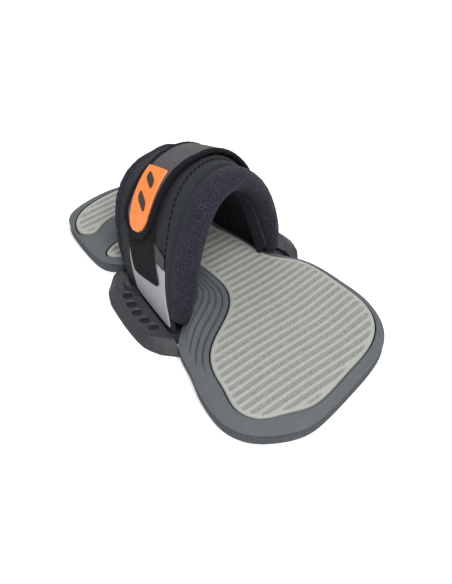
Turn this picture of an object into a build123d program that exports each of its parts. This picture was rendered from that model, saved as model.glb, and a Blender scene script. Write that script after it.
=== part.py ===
"""Kiteboard foot binding: an EVA footpad on a drilled plate, with an adjustable padded foot strap.

Frame: +Z up from the board, +Y towards the toes, +X towards the outside of a right foot.
The origin lies on the board face, in the middle of the pad's waist. Millimetres.
"""
import os
from math import cos, pi, radians, sin

from build123d import *

# --- driving dimensions ---------------------------------------------------------------------
gap = 0.1                   # glue line between layers that are bonded together
running_gap = 0.3           # air between pieces that move apart

rim_height = 13.0           # footpad rim above the board
rim_rounding = 3.0
deck_floor = 10.0           # bottom of the soft light top layers
deck_top = 13.6
rib_pitch = 6.6
rib_groove_width = 2.6
rib_groove_depth = 1.0
arch_height = 20.0          # top of the arch support
toe_bar_height = 18.0

plate_top = 4.5             # plate under the pad
flange_height = 2.5         # outer edge of the wings
wing_height = 8.0           # platform that carries the screw holes
wing_shift = 22.0           # the right wing sits this much nearer the toes than the left one
wing_outset = 1.5           # and this much further out, which keeps its screws clear of the strap

hole_radius = 3.5
hole_count = 5
hole_arc_centre = (11.7, -19.3)
hole_arc_radius = 80.0
hole_arc_middle = 8.2       # degrees above -X
hole_arc_pitch = 7.4        # degrees

strap_foot = plate_top + gap
left_foot_line = ((-60.0, -39.5), (-48.0, 30.5))    # where the strap's legs stand, heel end first
right_foot_line = ((65.0, -21.5), (56.0, 44.5))
heel_tuck = (-8.0, 5.5)     # the heel edge's right foot is pulled in under the arch
panel_thickness = 1.5
core_thickness = 1.6
foam_thickness = 5.6
liner_thickness = 1.9
strap_depth = panel_thickness + core_thickness + foam_thickness + liner_thickness + 3 * gap
foam_foot = 6.5             # foam and liner stop above the core's clamped tab

band_start = 0.25           # the closure band lies between these fractions of the strap's width
band_end = 0.75
band_low = 3.5              # underside of the band above the strap's outside
band_high = 6.0
tail_foot = 36.0            # the fixed end of the band is sewn to the strap this high above the board
tail_sink = 2.2             # the fixed end lies this much closer to the strap
tail_sink_turns = (radians(135), radians(160))
band_hinge_turn = radians(132)
flap_hinge_turn = radians(77)
flap_tip_turn = radians(42) # centre of the flap's rounded end
badge_thickness = 1.1
badge_clearance = 2.5       # the badge and the hook tape stop this far from the flap's hinge

screw_radius = 2.45
screw_hole_radius = 2.6
insert_radius = 3.4
insert_bore_radius = 2.5
screw_head_radius = 4.5
bar_bottom = 6.3
bar_top = 8.3

samples = 16                # points along each arch line


# --- the strap's shape ----------------------------------------------------------------------
def foot_point(line, fraction):
    """A point on one leg's foot line, from its heel end (0) to its toe end (1)."""
    (start_x, start_y), (end_x, end_y) = line
    return Vector(start_x + (end_x - start_x) * fraction, start_y + (end_y - start_y) * fraction, strap_foot)


class Station:
    """One arch line across the strap: where it stands, how high it is and how far it leans."""

    def __init__(self, fraction, height, fullness, lean, tuck=(0.0, 0.0)):
        self.left = foot_point(left_foot_line, fraction)
        self.right = foot_point(right_foot_line, fraction) + Vector(*tuck, 0)
        self.height = height
        self.fullness = fullness
        self.lean = lean

    def point(self, turn, offset):
        """A point on the arch, from the left foot (turn 0) to the right foot (turn pi)."""
        across = cos(turn)
        side = -1 if across < 0 else 1
        across = side * abs(across) ** (2 / self.fullness)
        up = abs(sin(turn)) ** (2 / self.fullness)
        half = (self.right.X - self.left.X) / 2
        x = (self.right.X + self.left.X) / 2 - (half + offset) * across
        rise = (self.height + offset - strap_foot) * up
        slope = (self.right.Y - self.left.Y) / (self.right.X - self.left.X)
        y = self.left.Y + slope * (x - self.left.X) + self.lean * rise / (self.height - strap_foot)
        return Vector(x, y, strap_foot + rise)

    def normal(self):
        """The direction across the strap, towards the heel."""
        along = self.right - self.left
        up = Vector(0, self.lean, self.height - strap_foot)
        return along.cross(up).normalized()


stations = {
    0.0: Station(0.0, 109.5, 2.12, 15.0, heel_tuck),
    band_start: Station(band_start, 104.3, 2.15, 19.0),
    band_end: Station(band_end, 89.2, 2.3, 23.5),
    1.0: Station(1.0, 82.0, 2.6, 25.0),
}
heel_edge = stations[0.0]
toe_edge = stations[1.0]


def arch_face(station, outer, inner, sink=0.0):
    """The flat cross-section of one layer at one station; it sinks towards its right foot."""
    turns = [pi * i / samples for i in range(samples + 1)]
    start, end = tail_sink_turns
    drops = [sink * min(1.0, max(0.0, (turn - start) / (end - start))) for turn in turns]
    outside = Spline(*[station.point(turn, outer - drop) for turn, drop in zip(turns, drops)])
    inside = Spline(*[station.point(turn, inner - drop) for turn, drop in zip(turns, drops)])
    left_foot = Line(outside @ 0, inside @ 0)
    right_foot = Line(outside @ 1, inside @ 1)
    return Face(Wire([outside, right_foot, inside, left_foot]))


def arch_layer(outer, inner, keys=(0.0, band_start, band_end, 1.0), sink=0.0):
    """A layer of the strap between two offsets from its outside."""
    return loft([arch_face(stations[key], outer, inner, sink) for key in keys], ruled=True)


def band_point(turn, fraction, offset):
    """A point on the closure band's straight rulings; fraction runs 0 to 1 across the band."""
    start = stations[band_start].point(turn, offset)
    end = stations[band_end].point(turn, offset)
    return start + (end - start) * fraction


def band_plane(turn):
    """The cutting plane across the band: x runs along the hinge, z along the band."""
    start = band_point(turn, 0, band_high)
    end = band_point(turn, 1, band_high)
    middle = (start + end) * 0.5
    outward = middle - (band_point(turn, 0, 0) + band_point(turn, 1, 0)) * 0.5
    across = (end - start).normalized()
    return Plane(origin=middle, x_dir=across, z_dir=across.cross(outward.normalized()) * -1)


def beyond(turn, side, clearance=0.0):
    """A large block on one side of a cut across the band; side 1 is towards the right foot."""
    plane = band_plane(turn)
    size = 220
    towards_right = (band_point(turn + 0.1, 0.5, 0) - band_point(turn, 0.5, 0)).normalized()
    facing = 1 if plane.z_dir.dot(towards_right) * side > 0 else -1
    block = Box(size, size, size, align=(Align.CENTER, Align.CENTER, Align.MIN))
    if facing < 0:
        block = Rot(180, 0, 0) * block
    return plane * Pos(0, 0, facing * clearance) * block


def padded_edge(station, away, width, depth, tip_width, tip_depth, grow=0.0):
    """A foam-filled edge roll that follows one arch line, slimmer at both feet."""
    sections = []
    count = 14
    first = 0.08
    for i in range(count + 1):
        turn = first + (pi - 2 * first) * i / count
        swell = min(1.0, sin(turn) * 2.6) ** 0.8
        half_width = tip_width + (width - tip_width) * swell
        half_depth = tip_depth + (depth - tip_depth) * swell
        centre = station.point(turn, -half_depth + 0.8) + away * (half_width + gap)
        along = station.point(turn + 0.01, 0) - station.point(turn - 0.01, 0)
        plane = Plane(origin=centre, x_dir=away, z_dir=along)
        sections.append(plane * Ellipse(half_width + grow, half_depth + grow))
    return loft(sections)


# --- outlines -------------------------------------------------------------------------------
def closed_outline(points, grow=0.0):
    """A smooth outline through a few points that run counterclockwise, grown by a distance."""
    curve = Spline(*points, periodic=True)
    if grow == 0:
        return make_face(curve)
    moved = []
    count = 120
    for i in range(count):
        along = curve % (i / count)
        moved.append(curve @ (i / count) + Vector(along.Y, -along.X) * grow)
    return make_face(Spline(*moved, periodic=True))


def pad_outline(grow=0.0):
    heel = [(-47.5, -36), (-54, -45), (-65, -55), (-76, -82), (-88, -112), (-88, -142), (-72, -162),
            (-42, -173), (-5, -167), (32, -159), (56, -143), (73, -119), (76, -90), (71, -56), (60, -34)]
    waist_right = [(52.4, -20), (48, 5), (44.5, 30), (45, 43)]
    toe = [(53, 58), (57, 74), (53, 94), (37, 117), (10, 128.5), (-20, 128.5), (-44, 119), (-52, 97),
           (-55.5, 70), (-54, 53)]
    waist_left = [(-44, 41), (-36.5, 30), (-40, 5), (-44, -15)]
    return closed_outline(heel + waist_right + toe + waist_left, grow)


def main_deck_outline(grow=0.0):
    heel = [(-4, -36), (-13, -51), (-35, -64), (-59, -80), (-71, -104), (-77, -131), (-68, -151),
            (-38, -162), (0, -158), (35, -150), (57, -130), (67, -103), (66, -62), (60, -42)]
    waist_right = [(49, -26), (45, -5), (41, 20), (40, 40)]
    toe = [(46, 55), (40, 62), (10, 65), (-20, 65.5), (-42, 63), (-49.5, 57), (-46, 50), (-30, 41)]
    waist_left = [(-10, 26), (-2, 5), (-1, -16)]
    return closed_outline(heel + waist_right + toe + waist_left, grow)


def toe_deck_outline(grow=0.0):
    return closed_outline([(-48, 103), (-49, 91), (-43, 86), (-30, 90.5), (0, 93), (28, 91), (43, 86),
                           (50, 92), (46, 104), (32, 114), (12, 121.5), (-12, 122), (-34, 116.5)], grow)


left_wing_edge = [(-53, 44), (-68, 30), (-74, 18), (-77, 5), (-80, -10), (-82, -26), (-82, -35),
                  (-80, -42), (-77, -48), (-68, -57)]
left_platform_edge = [(-50, 38), (-61, 27), (-67, 15), (-71, 3), (-74, -11), (-75.5, -23),
                      (-75.5, -32), (-72.5, -36.5), (-69, -40), (-61, -50)]


def mirrored(points):
    """The same outline on the right side, nearer the toes and further out."""
    return [(wing_outset - x, y + wing_shift) for x, y in reversed(points)]


# --- plate ----------------------------------------------------------------------------------
def slab_corners():
    """The plate between the wings, counterclockwise from the left wing's heel end."""
    right_edge = mirrored(left_wing_edge)
    return [left_wing_edge[-1], right_edge[0], right_edge[-1], left_wing_edge[0]]


def slab_outline():
    return make_face(Polyline(*slab_corners(), close=True))


def slab_edge(end, x):
    """The point at one x on the slab's heel edge (end -1) or toe edge (end 1)."""
    heel_left, heel_right, toe_right, toe_left = slab_corners()
    left, right = (heel_left, heel_right) if end < 0 else (toe_left, toe_right)
    share = (x - left[0]) / (right[0] - left[0])
    return (x, left[1] + (right[1] - left[1]) * share)


def hole_places():
    """Screw hole centres: five on the left wing, then five on the right."""
    places = []
    for i in range(hole_count):
        angle = radians(180 - hole_arc_middle + (i - 2) * hole_arc_pitch)
        x = hole_arc_centre[0] + hole_arc_radius * cos(angle)
        y = hole_arc_centre[1] + hole_arc_radius * sin(angle)
        places.append((x, y))
    return places + mirrored(places)


def wing(edge, platform_edge, inner):
    """One wing: a thin flange, a sloped band and the raised platform."""
    low = make_face(Polyline(*edge, *inner, close=True))
    high = make_face(Polyline(*platform_edge, *inner, close=True))
    slope = loft([Pos(0, 0, flange_height) * low, Pos(0, 0, wing_height) * high], ruled=True)
    return extrude(low, flange_height) + slope


def strap_slot(side):
    """The slot that one leg of the strap goes down, wider than the strap all round."""
    line = left_foot_line if side < 0 else right_foot_line
    first, last = foot_point(line, 0.0), foot_point(line, 1.0)
    run = last - first
    start = first - run * 0.1
    end = last + run * 0.08
    outer = 2.6 * side
    inner = -18 * side
    corners = [(start.X + outer, start.Y), (end.X + outer, end.Y),
               (end.X + inner, end.Y), (start.X + inner, start.Y)]
    return Pos(0, 0, plate_top) * extrude(make_face(Polyline(*corners, close=True)), 30)


def make_plate():
    """The chassis plate: a slab under the pad with a wing on each side."""
    right_edge = mirrored(left_wing_edge)
    right_platform = mirrored(left_platform_edge)
    slab = extrude(slab_outline(), plate_top)
    left = wing(left_wing_edge, left_platform_edge, [slab_edge(-1, -30), slab_edge(1, -30)])
    right = wing(right_edge, right_platform, [slab_edge(1, 30), slab_edge(-1, 30)])
    above_pad = Pos(0, 0, plate_top) * extrude(pad_outline(0.6), 30)
    plate = slab + (left - above_pad)
    plate += right - above_pad
    for side in (-1, 1):
        plate -= strap_slot(side)
    for x, y in hole_places():
        plate -= Pos(x, y, 0) * Cylinder(hole_radius, 40)
    for x, y in anchor_places():
        plate -= Pos(x, y, 0) * Cylinder(insert_radius, 40)
    return plate


# --- strap anchors under the pad ------------------------------------------------------------
anchor_x = 36.0
anchor_half_spacing = 10.0
left_anchor_y = -4.0
right_anchor_y = 12.0
bar_half_width = 6.5
bar_half_length = 18.0
tab_half_length = 16.0


def anchor_centres():
    return [(-anchor_x + 3, left_anchor_y), (anchor_x - 3, right_anchor_y)]


def anchor_places():
    """Where the four clamp screws stand."""
    places = []
    for x, y in anchor_centres():
        places.append((x, y - anchor_half_spacing))
        places.append((x, y + anchor_half_spacing))
    return places


def make_insert(x, y):
    sleeve = Cylinder(insert_radius, plate_top - 0.6, align=(Align.CENTER, Align.CENTER, Align.MIN))
    bore = Cylinder(insert_bore_radius, 40)
    return Pos(x, y, 0.6) * (sleeve - bore)


def make_screw(x, y):
    up = (Align.CENTER, Align.CENTER, Align.MIN)
    shank = Pos(0, 0, 0.8) * Cylinder(screw_radius, bar_top - 1.0, align=up)
    head = Pos(0, 0, bar_top - 2.0) * Cone(screw_radius, screw_head_radius, 1.9, align=up)
    socket = Pos(0, 0, bar_top - 1.4) * extrude(RegularPolygon(1.7, 6), 3)
    return Pos(x, y, 0) * (shank + head - socket)


def make_bar(x, y):
    bar = Pos(x, y, (bar_bottom + bar_top) / 2) * Box(2 * bar_half_width, 2 * bar_half_length,
                                                      bar_top - bar_bottom)
    bar = fillet(bar.edges().filter_by(Axis.Z), 3)
    up = (Align.CENTER, Align.CENTER, Align.MIN)
    for side in (-1, 1):
        place = Pos(x, y + side * anchor_half_spacing, 0)
        bar -= place * Cylinder(screw_hole_radius, 40)
        bar -= place * Pos(0, 0, bar_top - 2.0) * Cone(screw_hole_radius, screw_head_radius + 0.25, 2.0, align=up)
    return bar


def core_tab(centre, leg_x_heel, leg_x_toe):
    """The tongue of the strap core that is clamped under the footpad."""
    x, y = centre
    inner = x - 9 if x > 0 else x + 9
    corners = [(leg_x_heel, y - tab_half_length), (leg_x_toe, y + tab_half_length),
               (inner, y + tab_half_length), (inner, y - tab_half_length)]
    tab = Pos(0, 0, strap_foot) * extrude(make_face(Polyline(*corners, close=True)), 1.5)
    for side in (-1, 1):
        tab -= Pos(x, y + side * anchor_half_spacing, 0) * Cylinder(2.9, 40)
    return tab


def leg_x(side, y, depth):
    """Where a strap leg stands, at one place along its foot and one depth into its layers."""
    line = left_foot_line if side < 0 else right_foot_line
    first, last = foot_point(line, 0.0), foot_point(line, 1.0)
    return foot_point(line, (y - first.Y) / (last.Y - first.Y)).X - side * depth


# --- footpad --------------------------------------------------------------------------------
def arch_support():
    """The raised block under the arch of the foot."""
    foot = [(-42, 34), (-24, 32), (-7, 14), (-4, -14), (-8, -38), (-17, -52), (-43, -67), (-66, -70),
            (-60, -52), (-48, -38)]
    crown = [(-42, 20), (-32, 20), (-24, 6), (-20, -12), (-24, -28), (-32, -38), (-44, -46), (-56, -52),
             (-54, -46), (-47, -36)]
    low = Pos(0, 0, rim_height - 1) * make_face(Polyline(*foot, close=True))
    high = Pos(0, 0, arch_height) * make_face(Polyline(*crown, close=True))
    return loft([low, high], ruled=True)


def toe_bar():
    """The low ridge that the toes curl over."""
    low = Pos(-3, 77, rim_height - 1) * Ellipse(46, 11)
    high = Pos(-3, 77, toe_bar_height) * Ellipse(36, 4)
    return loft([low, high], ruled=True)


def make_footbed(rolls):
    pad_face = pad_outline()
    body = extrude(pad_face, rim_height)
    top = body.faces().sort_by(Axis.Z)[-1]
    body = fillet(top.edges(), rim_rounding)
    inside = extrude(pad_face, arch_height + 1)
    body += (arch_support() & inside)
    body += toe_bar()
    for face in (main_deck_outline(0.5), toe_deck_outline(0.5)):
        body -= Pos(0, 0, deck_floor) * extrude(face, 20)
    body -= extrude(slab_outline(), plate_top)
    for edge in (left_wing_edge, mirrored(left_wing_edge)):
        body -= extrude(make_face(Polyline(*edge, close=True)), plate_top)
    for x, y in anchor_centres():
        side = -1 if x < 0 else 1
        body -= Pos(x + side * 10, y, 0) * Box(39, 42, 2 * (bar_bottom + 0.1))
        body -= Pos(x, y, 0) * Box(2 * bar_half_width + 1, 2 * bar_half_length + 1, 2 * (bar_top + 0.2))
    body -= cushion_shape(0.0)
    for roll in rolls:
        body -= roll
    body -= arch_layer(1.0, -strap_depth - running_gap)
    return body


def cushion_shape(shrink):
    """The soft heel insert's space, open towards the deck above it."""
    depth = deck_floor - 5.0
    up = (Align.CENTER, Align.CENTER, Align.MIN)
    return Pos(-8, -118, 5.0 + shrink) * Cylinder(34 - shrink, depth - shrink, align=up)


def make_deck(outline, toe_most, heel_most):
    """A light top layer with straight drainage grooves across it."""
    deck = Pos(0, 0, deck_floor) * extrude(outline(), deck_top - deck_floor)
    inner = extrude(outline(-4.0), 40)
    count = int((toe_most - heel_most) / rib_pitch) - 1
    for i in range(count):
        y = heel_most + (i + 1.2) * rib_pitch
        deck -= inner & Pos(0, y, deck_top) * Box(220, rib_groove_width, 2 * rib_groove_depth)
    return deck


# --- strap trim -----------------------------------------------------------------------------
def side_view_prism(points, side):
    """A prism over an outline drawn in Y and Z, reaching out from the strap's middle."""
    face = make_face(Polyline(*[(0, y, z) for y, z in points], close=True))
    return extrude(face, 120, dir=(side, 0, 0))


def band_side_line(fraction, turns, offset=0.0):
    return [(band_point(turn, fraction, offset).Y, band_point(turn, fraction, offset).Z) for turn in turns]


def make_side_panel(side):
    """The coated patch that faces one leg of the strap above the plate."""
    layer = arch_layer(1.2, gap)
    corner = foot_point(left_foot_line if side < 0 else right_foot_line, 0.0)
    outline = [(-2, 5), (7, 34), (13, 51), (30, 60), (62, 48), (64, 37), (55, 5)]
    return layer & side_view_prism([(corner.Y + y, z) for y, z in outline], side)


def flap_outline(grow):
    """The flap's rounded end and its two long edges, in side view."""
    turns = [flap_tip_turn + (flap_hinge_turn + 0.3 - flap_tip_turn) * i / 6 for i in range(7)]
    heel_line = band_side_line(0, turns, band_high)
    toe_line = band_side_line(1, turns, band_high)
    half_y = (toe_line[0][0] - heel_line[0][0]) / 2
    half_z = (toe_line[0][1] - heel_line[0][1]) / 2
    middle_y = heel_line[0][0] + half_y
    middle_z = heel_line[0][1] + half_z
    tip_length = 13.0
    tip = []
    for i in range(1, 12):
        step = radians(15 * i)
        along = cos(step) * (1 + grow / half_y)
        y = middle_y + half_y * along
        z = middle_z + half_z * along - (tip_length + grow) * sin(step)
        tip.append((y, z))
    heel_side = [(y - grow, z) for y, z in heel_line]
    toe_side = [(y + grow, z) for y, z in toe_line]
    return toe_side[::-1] + tip + heel_side


def band_layer(outer, inner):
    return arch_layer(outer, inner, (band_start, band_end))


def flap_layer(outer, inner, grow, clearance=running_gap):
    """A layer with the flap's outline that stops short of the flap's hinge."""
    block = band_layer(outer, inner) & side_view_prism(flap_outline(grow), -1)
    return block & beyond(flap_hinge_turn, -1, clearance)


def between_hinges(layer):
    """The stretch of a layer that rides on the closure band."""
    return layer & beyond(band_hinge_turn, -1, running_gap) & beyond(flap_hinge_turn, 1, running_gap)


def band_station(fraction):
    """A station between the two edges of the band."""
    start = stations[band_start]
    end = stations[band_end]
    share = (fraction - band_start) / (band_end - band_start)
    values = [a + (b - a) * share for a, b in zip((start.height, start.fullness, start.lean),
                                                  (end.height, end.fullness, end.lean))]
    return Station(fraction, *values)


def band_strip(first, last, outer, inner):
    """A strip that runs along the band, between two fractions of the strap's width."""
    return loft([arch_face(band_station(first), outer, inner),
                 arch_face(band_station(last), outer, inner)], ruled=True)


def badge_bar(start, end):
    """One slanted bar of the plain emblem on the badge."""
    outline = [start, (start[0] + 4, start[1] + 1.5), (end[0] + 4, end[1] + 1.5), end]
    layer = band_layer(band_high + 1.75, band_high + badge_thickness + 0.15)
    return layer & side_view_prism(outline, -1) & beyond(flap_hinge_turn, -1, badge_clearance)


def save(shape, node):
    export_step(shape, f"parts/{node}.step")


def main():
    os.makedirs("parts", exist_ok=True)

    # the strap
    towards_heel = heel_edge.normal()
    towards_toe = toe_edge.normal() * -1
    heel_roll = (heel_edge, towards_heel, 11.5, 9.0, 7.5, 7.0)
    toe_roll = (toe_edge, towards_toe, 4.5, 6.5, 3.5, 5.0)
    save(padded_edge(*heel_roll), "heel_side_cuff")
    save(padded_edge(*toe_roll), "toe_side_cuff")
    rolls = [padded_edge(*roll, running_gap) for roll in (heel_roll, toe_roll)]
    below_foam = Box(300, 300, 2 * foam_foot)
    depth = 0.0
    save(arch_layer(-depth, -depth - panel_thickness), "outer_panel")
    depth += panel_thickness + gap
    core = arch_layer(-depth, -depth - core_thickness)
    middle_depth = depth + core_thickness / 2
    for centre in anchor_centres():
        side = -1 if centre[0] < 0 else 1
        core += core_tab(centre, leg_x(side, centre[1] - tab_half_length, middle_depth),
                         leg_x(side, centre[1] + tab_half_length, middle_depth))
    save(core, "strap_core")
    depth += core_thickness + gap
    save(arch_layer(-depth, -depth - foam_thickness) - below_foam, "strap_foam")
    depth += foam_thickness + gap
    save(arch_layer(-depth, -depth - liner_thickness) - below_foam, "strap_liner")
    save(make_side_panel(-1), "side_panel_left")
    save(make_side_panel(1), "side_panel_right")

    # the closure
    loop_outline = [(-24.5, 37), (19, 26), (30, 45), (40, 70), (34, 92), (4, 92), (-3, 71), (-13, 52.5)]
    save(arch_layer(2.6, 2.0) & side_view_prism(loop_outline, -1), "loop_tape")
    sizing_outline = [(-17, 54), (-27, 52), (-24, 64), (-8, 76), (22, 76), (22, 58)]
    save(arch_layer(1.9, 1.3) & side_view_prism(sizing_outline, -1), "sizing_strap")
    tail = arch_layer(band_high, band_low, (band_start, band_end), tail_sink) & beyond(band_hinge_turn, 1)
    save(tail - Box(300, 300, 2 * tail_foot), "band_tail")
    edge = band_start + 0.02
    far_edge = band_end - 0.02
    save(between_hinges(band_strip(edge, far_edge, band_high, band_low)), "closure_band")
    edging = [between_hinges(band_strip(band_start, edge - 0.003, band_high, band_low)),
              between_hinges(band_strip(far_edge + 0.003, band_end, band_high, band_low))]
    save(Compound(children=edging), "band_binding")
    save(flap_layer(band_high, band_low, -1.8), "closure_flap")
    rim = flap_layer(band_high, band_low, 0.0)
    save(rim - side_view_prism(flap_outline(-1.7), -1), "flap_binding")
    save(flap_layer(band_low - gap, band_low - 0.5, -3.0, badge_clearance), "hook_tape")
    save(flap_layer(band_high + badge_thickness, band_high + gap, -5.5, badge_clearance), "flap_badge")
    bars = [badge_bar((15, 70), (15, 84)), badge_bar((23, 72), (23, 86))]
    save(Compound(children=bars), "badge_motif")

    # the plate, anchors and pad
    save(make_plate(), "chassis_plate")
    save(Compound(children=[make_insert(x, y) for x, y in anchor_places()]), "anchor_inserts")
    save(Compound(children=[make_screw(x, y) for x, y in anchor_places()]), "anchor_screws")
    for name, centre in zip(("anchor_bar_left", "anchor_bar_right"), anchor_centres()):
        save(make_bar(*centre), name)
    save(make_footbed(rolls), "footbed")
    save(cushion_shape(gap), "heel_cushion")
    main_deck = make_deck(main_deck_outline, 64, -162)
    for roll in rolls:
        main_deck -= roll
    save(main_deck, "main_deck")
    save(make_deck(toe_deck_outline, 120, 88), "toe_deck")


if __name__ == "__main__":
    main()
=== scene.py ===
"""Looks of the kiteboard foot binding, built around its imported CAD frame.

Lengths are in mm until a mesh is made.
"""

import math

import bmesh
import bpy
import numpy as np
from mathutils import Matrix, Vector
from mathutils.geometry import delaunay_2d_cdt


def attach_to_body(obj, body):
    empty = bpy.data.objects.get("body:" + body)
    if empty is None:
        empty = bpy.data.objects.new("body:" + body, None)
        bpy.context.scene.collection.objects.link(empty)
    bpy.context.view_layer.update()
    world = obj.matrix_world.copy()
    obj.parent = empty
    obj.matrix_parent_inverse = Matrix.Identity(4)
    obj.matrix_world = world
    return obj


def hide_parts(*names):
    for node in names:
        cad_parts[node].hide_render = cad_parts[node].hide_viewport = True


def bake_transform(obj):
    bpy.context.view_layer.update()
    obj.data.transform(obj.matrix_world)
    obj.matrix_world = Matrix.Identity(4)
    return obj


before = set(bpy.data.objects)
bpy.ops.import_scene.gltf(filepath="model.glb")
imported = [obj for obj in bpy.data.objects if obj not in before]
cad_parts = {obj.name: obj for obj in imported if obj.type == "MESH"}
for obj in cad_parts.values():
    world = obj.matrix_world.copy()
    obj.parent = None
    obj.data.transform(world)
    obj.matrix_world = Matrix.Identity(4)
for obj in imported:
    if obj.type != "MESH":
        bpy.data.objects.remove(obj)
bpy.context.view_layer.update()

MM = 0.001                      # one mm in metres


# ---------------------------------------------------------------- small maths
def smooth(value, low, high):
    """0 below low, 1 above high and a soft step between them."""
    t = np.clip((value - low) / (high - low), 0.0, 1.0)
    return t * t * (3 - 2 * t)


def bump(value, centre, width):
    return np.exp(-(((value - centre) / width) ** 2))


def resample(loop, count):
    """Evenly spaced points along a closed polyline."""
    closed = np.vstack([loop, loop[:1]])
    length = np.r_[0, np.cumsum(np.linalg.norm(np.diff(closed, axis=0), axis=1))]
    at = np.linspace(0, length[-1], count, endpoint=False)
    return np.stack([np.interp(at, length, closed[:, i]) for i in (0, 1)], 1)


def spline_loop(points, count):
    """A smooth closed curve through a few points."""
    p = np.array(points, float)
    n = len(p)
    step = np.linalg.norm(np.roll(p, -1, 0) - p, axis=1)
    matrix, right = np.zeros((n, n)), np.zeros((n, 2))
    for i in range(n):
        before, after = step[i - 1], step[i]
        matrix[i, i - 1] += before
        matrix[i, i] += 2 * (before + after)
        matrix[i, (i + 1) % n] += after
        right[i] = 6 * ((p[(i + 1) % n] - p[i]) / after - (p[i] - p[i - 1]) / before)
    bend = np.linalg.solve(matrix, right)
    runs = []
    for i in range(n):
        j, h = (i + 1) % n, step[i]
        b = np.linspace(0, 1, 60, endpoint=False)[:, None]
        a = 1 - b
        runs.append(a * p[i] + b * p[j] + ((a**3 - a) * bend[i] + (b**3 - b) * bend[j]) * h * h / 6)
    return resample(np.concatenate(runs), count)


def rounded_loop(points, count, cut=0.2, times=3):
    """A polygon with its corners cut round."""
    p = np.array(points, float)
    for _ in range(times):
        ahead = np.roll(p, -1, 0)
        p = np.stack([p + (ahead - p) * cut, ahead + (p - ahead) * cut], 1).reshape(-1, 2)
    return resample(p, count)


def circle(count):
    turn = np.linspace(0, 2 * np.pi, count, endpoint=False)
    return np.stack([np.cos(turn), np.sin(turn)], 1)


def counterclockwise(loop):
    ahead = np.roll(loop, -1, 0)
    area = loop[:, 0] * ahead[:, 1] - ahead[:, 0] * loop[:, 1]
    return loop[::-1] if area.sum() < 0 else loop


def outward(loop):
    """Unit normals that point out of a counterclockwise loop."""
    along = np.roll(loop, -1, 0) - np.roll(loop, 1, 0)
    along /= np.linalg.norm(along, axis=1)[:, None]
    return np.stack([along[:, 1], -along[:, 0]], 1)


def distance(points, line, closed=True):
    """Distance from each point to a polyline."""
    a = line if closed else line[:-1]
    b = np.roll(line, -1, 0) if closed else line[1:]
    ab = b - a
    size = (ab**2).sum(1) + 1e-12
    out = np.empty(len(points))
    for i in range(0, len(points), 2000):
        p = points[i : i + 2000, None]
        t = np.clip(((p - a) * ab).sum(2) / size, 0, 1)
        out[i : i + 2000] = np.sqrt(((p - (a + t[..., None] * ab)) ** 2).sum(2)).min(1)
    return out


def inside(points, loop):
    """Whether each point lies inside a closed loop."""
    ax, ay = loop[:, 0], loop[:, 1]
    bx, by = np.roll(ax, -1), np.roll(ay, -1)
    out = np.zeros(len(points), bool)
    for i in range(0, len(points), 2000):
        x, y = points[i : i + 2000, :1], points[i : i + 2000, 1:2]
        hit = ((ay > y) != (by > y)) & (x < (bx - ax) * (y - ay) / (by - ay + 1e-12) + ax)
        out[i : i + 2000] = hit.sum(1) % 2 == 1
    return out


def parallel(loop, offset, step=1):
    """The points of a loop moved outward, without those that come too near to it again."""
    moved = loop[::step] + outward(loop)[::step] * offset
    keep = distance(moved, loop[::2]) > abs(offset) - 0.04
    return moved[keep]


def lattice(loop, pitch, margin):
    """Staggered points inside a loop, at least a margin away from it."""
    low, high = loop.min(0), loop.max(0)
    rows = np.arange(low[1], high[1], pitch * 0.866)
    out = []
    for i, y in enumerate(rows):
        x = np.arange(low[0] + (i % 2) * pitch / 2, high[0], pitch)
        out.append(np.stack([x, np.full(len(x), y)], 1))
    p = np.concatenate(out)
    p = p[inside(p, loop)]
    return p[distance(p, loop) > margin]


def apart(points, others, gap):
    """The points that stay clear of others."""
    cells = {}
    for x, y in others:
        cells.setdefault((int(x // gap), int(y // gap)), []).append((x, y))
    keep = []
    for x, y in points:
        i, j = int(x // gap), int(y // gap)
        near = [q for a in (-1, 0, 1) for b in (-1, 0, 1) for q in cells.get((i + a, j + b), ())]
        keep.append(all((x - q[0]) ** 2 + (y - q[1]) ** 2 > gap * gap for q in near))
    return points[np.array(keep, bool)]


# ---------------------------------------------------------------- meshes
def triangulate(loops, points):
    """Points, triangles and each loop's vertex numbers, for the area between the first loop and the others."""
    fixed = sum(len(loop) for loop in loops)
    flat = np.concatenate(list(loops) + [points]) if len(points) else np.concatenate(loops)
    edges, first = [], 0
    for loop in loops:
        n = len(loop)
        edges += [(first + i, first + (i + 1) % n) for i in range(n)]
        first += n
    co, _, faces, source, _, _ = delaunay_2d_cdt([Vector(p) for p in flat.tolist()], edges, [], 0, 1e-6)
    where = np.zeros(len(flat), int)
    edge_vertex = np.zeros(len(co), bool)
    for i, origins in enumerate(source):
        for k in origins:
            where[k] = i
            edge_vertex[i] |= k < fixed
    co = np.array([tuple(v) for v in co])
    tri = np.array(faces)
    doubt = edge_vertex[tri].all(1)
    middle = co[tri].mean(1)
    good = ~doubt
    test = inside(middle[doubt], loops[0])
    for loop in loops[1:]:
        test &= ~inside(middle[doubt], loop)
    good[doubt] = test
    tri = tri[good]
    a, b, c = co[tri[:, 0]], co[tri[:, 1]], co[tri[:, 2]]
    turn = (b[:, 0] - a[:, 0]) * (c[:, 1] - a[:, 1]) - (b[:, 1] - a[:, 1]) * (c[:, 0] - a[:, 0])
    tri = tri[np.abs(turn) > 1e-7]
    turn = turn[np.abs(turn) > 1e-7]
    tri[turn < 0] = tri[turn < 0][:, ::-1]
    rings, first = [], 0
    for loop in loops:
        rings.append(where[first : first + len(loop)])
        first += len(loop)
    return co, tri, rings


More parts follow.
